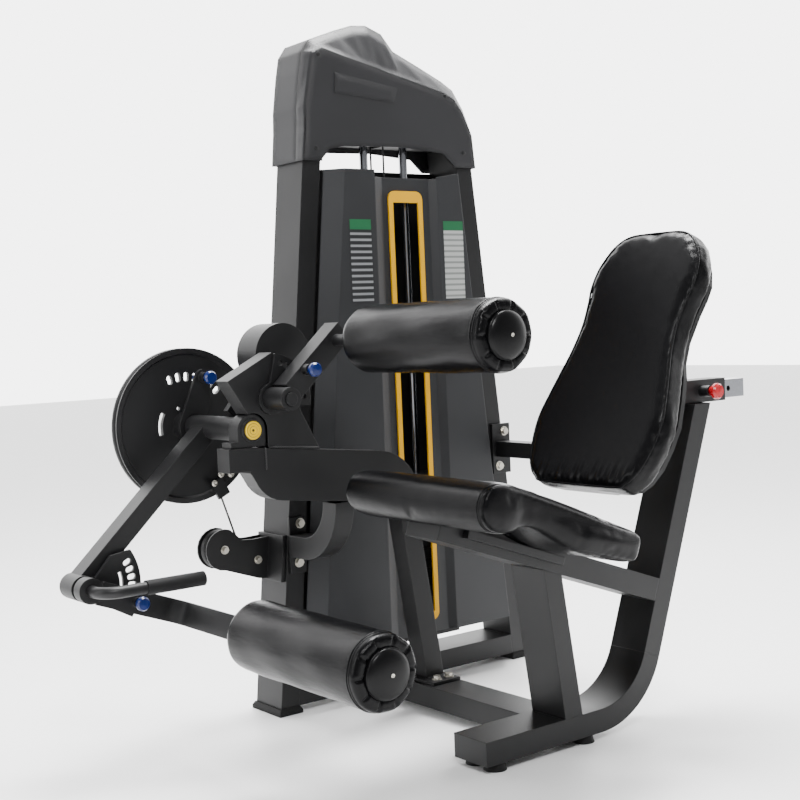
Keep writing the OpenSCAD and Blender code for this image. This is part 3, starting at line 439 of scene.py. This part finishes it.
paint_over(black_paint, "bracket_box", "arc_tube", "pad_post", "pad_sector", "rear_bearing", "pulley_bracket")
bearing_paint = finish("bearing_paint", srgb(15, 15, 16), srgb(30, 30, 32), roughness=0.36, spread=0.12,
                       grain=420.0, patch=12.0, bump=0.35, specular=0.4, edge=0.003)
paint_over(bearing_paint, "front_bearing")
yellow_plastic = finish("yellow_plastic", srgb(216, 178, 2), srgb(226, 190, 10), roughness=0.36, spread=0.1,
                        grain=700.0, patch=12.0, bump=0.06)


def painted_groove_shade(material, centre, rings):
    """Paints shade into a material's colour in rings around an axis along Y: the tone falls at the cap's
    centre, in its grooves and towards its rim. Each ring is a share of the ramp's reach and a tone, and the
    colour is multiplied by the ramp's tone at the point's distance from the axis."""
    ramp_reach = 0.02  # metres
    tree, link = material.node_tree.nodes, material.node_tree.links.new
    place = tree.new("ShaderNodeTexCoord")
    flat, away = tree.new("ShaderNodeVectorMath"), tree.new("ShaderNodeVectorMath")
    flat.operation, away.operation = "MULTIPLY", "DISTANCE"
    flat.inputs[1].default_value, away.inputs[1].default_value = (1, 0, 1), (centre[0], 0, centre[1])
    scaled, ramp, tone = tree.new("ShaderNodeMath"), tree.new("ShaderNodeValToRGB"), tree.new("ShaderNodeMix")
    scaled.operation, scaled.inputs[1].default_value = "MULTIPLY", 1 / ramp_reach
    tone.data_type, tone.blend_type = "RGBA", "MULTIPLY"
    tone.inputs["Factor"].default_value = 1.0
    for number, (at, light) in enumerate(rings):
        stop = ramp.color_ramp.elements[number] if number < 2 else ramp.color_ramp.elements.new(at)
        stop.position, stop.color = at, (light, light, light, 1)
    shader = tree["Principled BSDF"]
    before = shader.inputs["Base Color"].links[0].from_socket
    link(place.outputs["Object"], flat.inputs[0])
    link(flat.outputs["Vector"], away.inputs[0])
    link(away.outputs["Value"], scaled.inputs[0])
    link(scaled.outputs[0], ramp.inputs["Fac"])
    link(before, tone.inputs["A"])
    link(ramp.outputs["Color"], tone.inputs["B"])
    link(tone.outputs["Result"], shader.inputs["Base Color"])


MAIN_AXIS = (-0.373, 0.691)
# Painted shade: dark rings on the yellow cap where its grooves lie, with a dark centre and a darker rim.
painted_groove_shade(yellow_plastic, MAIN_AXIS, [
    (0.0, 0.05), (1.0, 0.1), (0.12, 0.05), (0.16, 1.0), (0.40, 1.0), (0.43, 0.25),
    (0.47, 1.0), (0.68, 1.0), (0.72, 0.3), (0.77, 1.0), (0.94, 1.0)])
paint_over(yellow_plastic, "bearing_cap")

weld_bead = finish("weld_bead", srgb(20, 20, 21), srgb(38, 38, 40), roughness=0.34, spread=0.1,
                   grain=1200.0, patch=9.0, bump=0.3, specular=0.5)


def weld(name, start, end):
    """A painted weld bead from start to end: a thin cord, thinned by a sine along it for the ripple of its
    passes, and tapered at both ends."""
    bead_radius, step = 0.0022, 0.0012
    start, end = np.array(start), np.array(end)
    count = max(int(np.linalg.norm(end - start) / step), 8)
    bead = cord_along(name, start + np.outer(np.linspace(0, 1, count), end - start), bead_radius, sides=8,
                      swell=lambda t: ((0.85 + 0.15 * np.sin(t * count * 1.4))
                                       * np.minimum(1, 10 * np.minimum(t, 1 - t) + 0.15)))
    bead.data.materials.append(weld_bead)
    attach(bead, "frame")


WELD_Y = 0.1405
for number, (x0, z0, x1, z1) in enumerate(((-0.333, 0.654, -0.208, 0.641), (-0.345, 0.604, -0.345, 0.654),
                                           (-0.060, 0.509, 0.052, 0.509), (0.066, 0.0745, 0.116, 0.0745))):
    weld(f"weld_{number}", (x0, WELD_Y, z0), (x1, WELD_Y, z1))

# ---- Cam, swing arm and lever ----
# A turned steel disc with a row of selector holes, and the welded arm that a pin holds to it.
# The cranked lever at the arm's end carries the lower roller, and a bent rod ends in a rubber grip.

cam_paint = finish("cam_paint", srgb(18, 18, 19), srgb(30, 30, 32), roughness=0.4, spread=0.12,
                   grain=1000.0, patch=8.0, bump=0.16, specular=0.35, edge=0.0015)
bare_steel = finish("bare_steel", srgb(160, 160, 164), srgb(196, 196, 200), roughness=0.3, spread=0.14,
                    grain=350.0, patch=10.0, bump=0.08, metallic=1.0)
paint_over(cam_paint, "cam_disc", "counterweight")
paint_over(bare_steel, "pivot_shaft")
paint_over(black_paint, "swing_arm", "arm_selector", "lever_sector", "lever_bar", "roller_shaft", "handle_rod",
           "pad_arm")
grip_rubber = finish("grip_rubber", srgb(14, 14, 15), srgb(28, 28, 29), roughness=0.6, spread=0.1,
                     grain=600.0, patch=10.0, bump=0.4, specular=0.25)
paint_over(grip_rubber, "handle_grip")
disc_face_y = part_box("cam_disc")[0][1]
for number, (x, z) in enumerate(((-0.303, 0.574), (-0.277, 0.572), (-0.321, 0.555))):
    round_head(f"clamp_bolt_{number}", x, disc_face_y, z, radius=0.0075, tall=0.0045, hollow=0.0035,
               material=zinc, body="cam")

# ---- Pull pins ----
# Steel pins, each pressed into its hole by a spring and pulled out by hand.
# Their moulded plastic knobs are blue, and red on the backrest's pin.

blue_plastic = finish("blue_knob", srgb(0, 20, 76), srgb(2, 40, 116), roughness=0.25, spread=0.1,
                      grain=500.0, patch=14.0, bump=0.05)
red_plastic = finish("red_knob", srgb(160, 4, 18), srgb(200, 16, 30), roughness=0.22, spread=0.1,
                     grain=500.0, patch=14.0, bump=0.05)
paint_over(blue_plastic, "arm_pin", "lever_pin", "pad_pin")
paint_over(red_plastic, "back_pin")

# ---- Roller pads ----
# Foam tubes in black leatherette, pleated over the near end and closed by a domed plastic cap.
# A screw holds the cap, and each roller turns freely on its steel shaft.


def leather_material(name, dark, light, roughness, stretch=(1, 1, 1)):
    """Leatherette: Voronoi cells for the grain, over a noise for the creases, which stretch may draw out."""
    cell_scale, cell_strength, cell_height = 700.0, 0.5, 0.0004
    crease_scale, crease_strength, crease_height = 26.0, 0.35, 0.0025
    made = finish(name, dark, light, roughness, spread=0.06, grain=1400.0, patch=6.0, bump=0.0, specular=0.12)
    tree, link = made.node_tree.nodes, made.node_tree.links.new
    place, cell = tree.new("ShaderNodeTexCoord"), tree.new("ShaderNodeTexVoronoi")
    crease = tree.new("ShaderNodeTexNoise")
    mapping = tree.new("ShaderNodeMapping")
    mapping.inputs["Scale"].default_value = stretch
    cell.feature = "DISTANCE_TO_EDGE"
    cell.inputs["Scale"].default_value = cell_scale
    crease.inputs["Scale"].default_value = crease_scale
    crease.inputs["Detail"].default_value = 6.0
    link(place.outputs["Object"], cell.inputs["Vector"])
    link(place.outputs["Object"], mapping.inputs["Vector"])
    link(mapping.outputs["Vector"], crease.inputs["Vector"])
    grain, folds = tree.new("ShaderNodeBump"), tree.new("ShaderNodeBump")
    grain.inputs["Strength"].default_value = cell_strength
    grain.inputs["Distance"].default_value = cell_height
    folds.inputs["Strength"].default_value = crease_strength
    folds.inputs["Distance"].default_value = crease_height
    link(cell.outputs["Distance"], grain.inputs["Height"])
    link(crease.outputs["Fac"], folds.inputs["Height"])
    link(folds.outputs["Normal"], grain.inputs["Normal"])
    link(grain.outputs["Normal"], tree["Principled BSDF"].inputs["Normal"])
    return made


def lathe_y(name, x, z, ys, rs, around=96, shape=None):
    """A surface of revolution about an axis along Y: at angle a, row k is (x + r * cos a, y, z + r * sin a)
    with y = ys[k] and r = rs[k]. shape(a, r, y) may give another r and y."""
    ys, rs = np.asarray(ys, float), np.asarray(rs, float)
    angle = np.linspace(0, 2 * np.pi, around, endpoint=False)
    radius = np.broadcast_to(rs[:, None], (len(rs), around)).copy()
    along = np.broadcast_to(ys[:, None], (len(ys), around)).copy()
    if shape:
        radius, along = shape(angle[None, :], radius, along)
    points = np.stack([x + radius * np.cos(angle), along, z + radius * np.sin(angle)], -1)
    return mesh_object(name, points, grid_faces(len(rs), around, False, True))


roller_leather = leather_material("roller_leatherette", srgb(5, 5, 6), srgb(10, 10, 12), roughness=0.2,
                                  stretch=(3.0, 0.7, 3.0))
dome_plastic = finish("dome_plastic", srgb(7, 7, 8), srgb(13, 13, 14), roughness=0.26, spread=0.08,
                      grain=900.0, patch=9.0, bump=0.1, specular=0.15)
PLEATS, AROUND = 10, 160
ROLLER_R, SHAFT_R, WELT_R = 0.070, 0.0131, 0.0018
FAR_Y, FAR_ROUND, NEAR_Y, NEAR_ROUND, NEAR_DEPTH = -0.031, 0.020, -0.452, 0.010, 0.012
CAP_RIM_R, CAP_RIM_Y, DOME_R, DOME_HEIGHT = 0.0465, -0.4672, 0.0455, 0.013
ROLLER_LOW, ROLLER_HIGH = (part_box(n) for n in ("lower_roller", "upper_roller"))


def roller_shape(angle, radius, along):
    """Near its end the round section turns into a ten-sided one, whose radius at angle i from a side's middle
    is cos(side / 2) / cos i, and both the radius and the end face dip at each pleat by a Gaussian."""
    pleats_from, pleats_over, pleat_width, end_face_r = -0.425, 0.04, 0.05, 0.066
    flatness, side_dip, end_dip = 0.9, 0.002, 0.0035
    near = np.clip((pleats_from - along) / pleats_over, 0, 1) ** 2
    side = 2 * np.pi / PLEATS
    inside = np.mod(angle, side) - side / 2
    polygon = np.cos(side / 2) / np.cos(inside)
    fold = np.exp(-(np.abs(np.abs(inside) - side / 2) / pleat_width) ** 2)
    ripple = 0.0005 * np.sin(3 * angle + 40 * along) + 0.0004 * np.sin(7 * angle - 23 * along)
    return (radius * (1 + near * (polygon - 1) * flatness) + ripple - side_dip * near * fold,
            along + end_dip * near * fold * (radius < end_face_r))


for body, box in (("lower_roller", ROLLER_LOW), ("upper_roller", ROLLER_HIGH)):
    x, z = (box[0][0] + box[1][0]) / 2, (box[0][2] + box[1][2]) / 2
    quarter = np.linspace(0, np.pi / 2, 9)
    far_y = np.concatenate([[FAR_Y, FAR_Y, FAR_Y], FAR_Y - FAR_ROUND * (1 - np.cos(quarter))])
    far_r = np.concatenate([[SHAFT_R, 0.030, 0.048], 0.050 + FAR_ROUND * np.sin(quarter)])
    mid_y = np.linspace(-0.056, -0.440, 60)
    mid_r = np.full(len(mid_y), ROLLER_R)
    near_y = NEAR_Y - NEAR_DEPTH * np.sin(quarter)
    near_r = 0.060 + NEAR_ROUND * np.cos(quarter)
    end_y, end_r = [-0.4645, -0.4640, -0.4615, -0.460], [0.0560, 0.050, 0.044, SHAFT_R]
    skin = lathe_y(body + "_skin", x, z, np.concatenate([far_y, mid_y, near_y, end_y]),
                   np.concatenate([far_r, mid_r, near_r, end_r]), AROUND, roller_shape)
    skin.data.materials.append(roller_leather)
    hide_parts(body)
    for number, (y, r) in enumerate(((-0.4405, 0.0702), (-0.4465, 0.0698))):
        ring = np.linspace(0, 2 * np.pi, 13)
        welt = lathe_y(f"{body}_welt_{number}", x, z,
                       y + WELT_R * np.sin(ring), r - 0.0006 + WELT_R * np.cos(ring), AROUND,
                       lambda a, radius, along: (roller_shape(a, radius, along)[0], along))
        welt.data.materials.append(roller_leather)
        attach(welt, body)
    dome = np.linspace(0, np.pi / 2, 20)
    cap = lathe_y(body + "_cap", x, z,
                  np.concatenate([[-0.456, -0.4655, CAP_RIM_Y], CAP_RIM_Y - DOME_HEIGHT * np.sin(dome)]),
                  np.concatenate([[CAP_RIM_R, CAP_RIM_R, 0.0460], DOME_R * np.cos(dome)]))
    cap.data.materials.append(dome_plastic)
    screw = lathe_y(body + "_screw", x, z, [-0.4796, -0.4812, -0.4815, -0.4806, -0.4806],
                    [0.0036, 0.0036, 0.0030, 0.0018, 0.0], 24)
    screw.data.materials.append(zinc)
    for piece in (skin, cap, screw):
        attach(piece, body)

# ---- Seat ----
# Foam on a board under black leatherette, in one piece: a fat roll at the front edge and a
# sloping pad behind it. A double row of stitches follows the roll on the side towards the camera.

pad_leather = leather_material("pad_leatherette", srgb(6, 6, 7), srgb(12, 12, 14), roughness=0.22)
VOXEL, MOST_SWELL = 0.005, 0.006


def puffed(obj, voxel, cap):
    """Foam under a skin: the form is remeshed, swollen a little by cloth with inner pressure, and smoothed.
    No point moves farther than cap."""
    pressure, last_frame = 4.0, 20
    bpy.context.view_layer.objects.active = obj
    remesh = obj.modifiers.new("remesh", "REMESH")
    remesh.mode, remesh.voxel_size = "VOXEL", voxel
    bpy.ops.object.modifier_apply(modifier=remesh.name)
    count = len(obj.data.vertices)
    start = np.empty(count * 3)
    obj.data.vertices.foreach_get("co", start)
    start = start.reshape(-1, 3)
    cloth = obj.modifiers.new("cloth", "CLOTH")
    cloth.settings.use_pressure = True
    cloth.settings.uniform_pressure_force = pressure
    cloth.settings.effector_weights.gravity = 0.0
    cloth.settings.quality = 5
    scene = bpy.context.scene
    for step in range(1, last_frame + 1):
        scene.frame_set(step)
    graph = bpy.context.evaluated_depsgraph_get()
    swollen = np.empty(count * 3)
    obj.evaluated_get(graph).data.vertices.foreach_get("co", swollen)
    obj.modifiers.remove(cloth)
    scene.frame_set(1)
    move = swollen.reshape(-1, 3) - start
    length = np.linalg.norm(move, axis=1, keepdims=True)
    start = start + move * np.minimum(1, cap / np.maximum(length, 1e-9))
    obj.data.vertices.foreach_set("co", start.ravel())
    smooth = obj.modifiers.new("smooth", "SMOOTH")
    smooth.factor, smooth.iterations = 0.5, 6
    bpy.ops.object.modifier_apply(modifier=smooth.name)
    finer = obj.modifiers.new("finer", "SUBSURF")
    finer.levels = finer.render_levels = 1
    bpy.ops.object.modifier_apply(modifier=finer.name)
    obj.data.polygons.foreach_set("use_smooth", [True] * len(obj.data.polygons))
    obj.data.update()


def smooth_loop(points, count):
    """A closed Catmull-Rom curve through the points: between two of them it is the cubic in t that leaves each
    along the line from the point before to the point after. It is cut into count even steps."""
    p = np.asarray(points, float)
    before, here, after, later = np.roll(p, 1, 0), p, np.roll(p, -1, 0), np.roll(p, -2, 0)
    t = np.linspace(0, 1, 24, endpoint=False)[:, None, None]
    curve = 0.5 * (2 * here + (after - before) * t + (2 * before - 5 * here + 4 * after - later) * t ** 2
                   + (3 * here - before - 3 * after + later) * t ** 3)
    curve = curve.transpose(1, 0, 2).reshape(-1, p.shape[1])
    closed = np.vstack([curve, curve[:1]])
    walk = np.concatenate([[0], np.cumsum(np.linalg.norm(np.diff(closed, axis=0), axis=1))])
    at = np.linspace(0, walk[-1], count, endpoint=False)
    return np.stack([np.interp(at, walk, closed[:, k]) for k in range(p.shape[1])], -1)


def prism(name, loop, place, low, high):
    """A closed form: the flat loop at the depths low and high, joined by walls, with both ends filled.
    place(u, v, depth) turns loop coordinates and a depth into a point."""
    count = len(loop)
    points = np.concatenate([place(loop[:, 0], loop[:, 1], depth) for depth in (low, high)])
    faces = grid_faces(2, count, False, True).tolist()
    faces += [list(range(count))[::-1], list(range(count, 2 * count))]
    return mesh_object(name, points, faces)


SEAT_Y, SEAT_HALF = -0.250, 0.219
seat_side = [(-0.230, 0.516), (-0.262, 0.532), (-0.271, 0.560), (-0.258, 0.590), (-0.228, 0.600),
             (-0.177, 0.589), (-0.085, 0.556), (0.020, 0.514), (0.118, 0.472), (0.148, 0.458), (0.154, 0.448),
             (0.139, 0.411), (0.118, 0.413), (-0.013, 0.449), (-0.120, 0.507), (-0.160, 0.520),
             (-0.195, 0.513)]
seat_pad = prism("seat_cushion", smooth_loop(seat_side, 120),
                 lambda u, v, d: np.stack([u, np.full_like(u, SEAT_Y + d), v], -1), -SEAT_HALF, SEAT_HALF)
puffed(seat_pad, VOXEL, MOST_SWELL)
seat_pad.data.materials.append(pad_leather)
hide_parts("seat_pad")
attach(seat_pad, "frame")

ROLL_X, ROLL_Z, ROLL_R, STITCH_R = -0.230, 0.558, 0.0442, 0.0014
arc = np.radians(np.linspace(72, 262, 60))  # from behind the roll's top, round its front, to its foot
for number, (y, inset) in enumerate(((-0.4600, 0.0), (-0.4540, 0.0002))):
    stitch_path = np.stack([ROLL_X + (ROLL_R - inset) * np.cos(arc), np.full(len(arc), y),
                            ROLL_Z + (ROLL_R - inset) * np.sin(arc)], -1)
    stitch = cord_along(f"seat_stitch_{number}", stitch_path, STITCH_R,
                        swell=lambda t: np.minimum(1, 8 * np.minimum(t, 1 - t) + 0.2))
    stitch.data.materials.append(pad_leather)
    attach(stitch, "frame")

# ---- Backrest ----
# A contoured board with foam under black leatherette, and a welt that runs round its face.
# A socket on the board takes a chrome tube, which slides in a sleeve and ends in a plastic plug.

BACK_FOOT, BACK_LEAN = np.array([0.179, SEAT_Y, 0.542]), math.radians(27.7)
back_up = np.array([math.sin(BACK_LEAN), 0, math.cos(BACK_LEAN)])
back_out = np.array([-math.cos(BACK_LEAN), 0, math.sin(BACK_LEAN)])
half_width = [(-0.002, 0.105), (0.008, 0.138), (0.024, 0.158), (0.052, 0.174), (0.104, 0.187), (0.157, 0.190),
              (0.215, 0.178), (0.268, 0.165), (0.323, 0.152), (0.384, 0.145), (0.442, 0.150), (0.485, 0.157),
              (0.530, 0.153), (0.560, 0.141), (0.584, 0.127), (0.602, 0.108), (0.613, 0.085), (0.617, 0.050)]
outline = half_width + [(h, -w) for h, w in half_width[::-1]]


def back_place(u, v, depth):
    """A point on the pad: its foot + u * up the pad + v across it + depth * out of its face."""
    return BACK_FOOT + np.outer(u, back_up) + np.outer(v, [0, 1, 0]) + depth * back_out


back_loop = smooth_loop(outline, 200)
PAD_BACK, PAD_FACE, WELT_DEPTH, BACK_WELT_R = -0.056, -0.004, -0.0055, 0.0026
back_pad = prism("backrest_cushion", back_loop, back_place, PAD_BACK, PAD_FACE)
puffed(back_pad, VOXEL, MOST_SWELL)

# Small gathers along the pad's foot: two sines across it, under a Gaussian of the height.
cover = np.empty(len(back_pad.data.vertices) * 3)
back_pad.data.vertices.foreach_get("co", cover)
cover = cover.reshape(-1, 3)
high, across, out = (cover - BACK_FOOT) @ back_up, cover[:, 1] - SEAT_Y, (cover - BACK_FOOT) @ back_out
GATHER_AT, GATHER_OVER = 0.012, 0.030
pucker = np.exp(-((high - GATHER_AT) / GATHER_OVER) ** 2) * np.clip((out + 0.020) / 0.015, 0, 1)
cover += np.outer(pucker * (0.0010 * np.sin(across * 330 + 40 * high) + 0.0007 * np.sin(across * 211 + 2)),
                  back_out)
back_pad.data.vertices.foreach_set("co", cover.ravel())
back_pad.data.update()
back_pad.data.materials.append(pad_leather)
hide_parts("back_pad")
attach(back_pad, "backrest")

middle, drawn_in = back_loop.mean(0), [0.975, 0.955]
face_loop = middle + (back_loop - middle) * drawn_in
back_welt = cord_along("backrest_welt", back_place(face_loop[:, 0], face_loop[:, 1], WELT_DEPTH), BACK_WELT_R,
                       closed=True)
back_welt.data.materials.append(pad_leather)
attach(back_welt, "backrest")
board_paint = finish("board_plastic", srgb(14, 14, 15), srgb(24, 24, 25), roughness=0.5, spread=0.1,
                     grain=300.0, patch=9.0, bump=0.2, specular=0.3)
paint_over(board_paint, "back_plate")
paint_over(chrome, "slide_tube")
PLUG_HALF = 0.0178
plug_points = [[x, y, z] for x in (0.712, 0.7278) for y in (SEAT_Y - PLUG_HALF, SEAT_Y + PLUG_HALF)
               for z in (0.7012, 0.7368)]
plug_faces = [[0, 1, 3, 2], [4, 6, 7, 5], [0, 4, 5, 1], [2, 3, 7, 6], [0, 2, 6, 4], [1, 5, 7, 3]]
plug = mesh_object("slide_tube_plug", plug_points, plug_faces, smooth=False)
plug.data.materials.append(black_plastic)
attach(plug, "backrest")
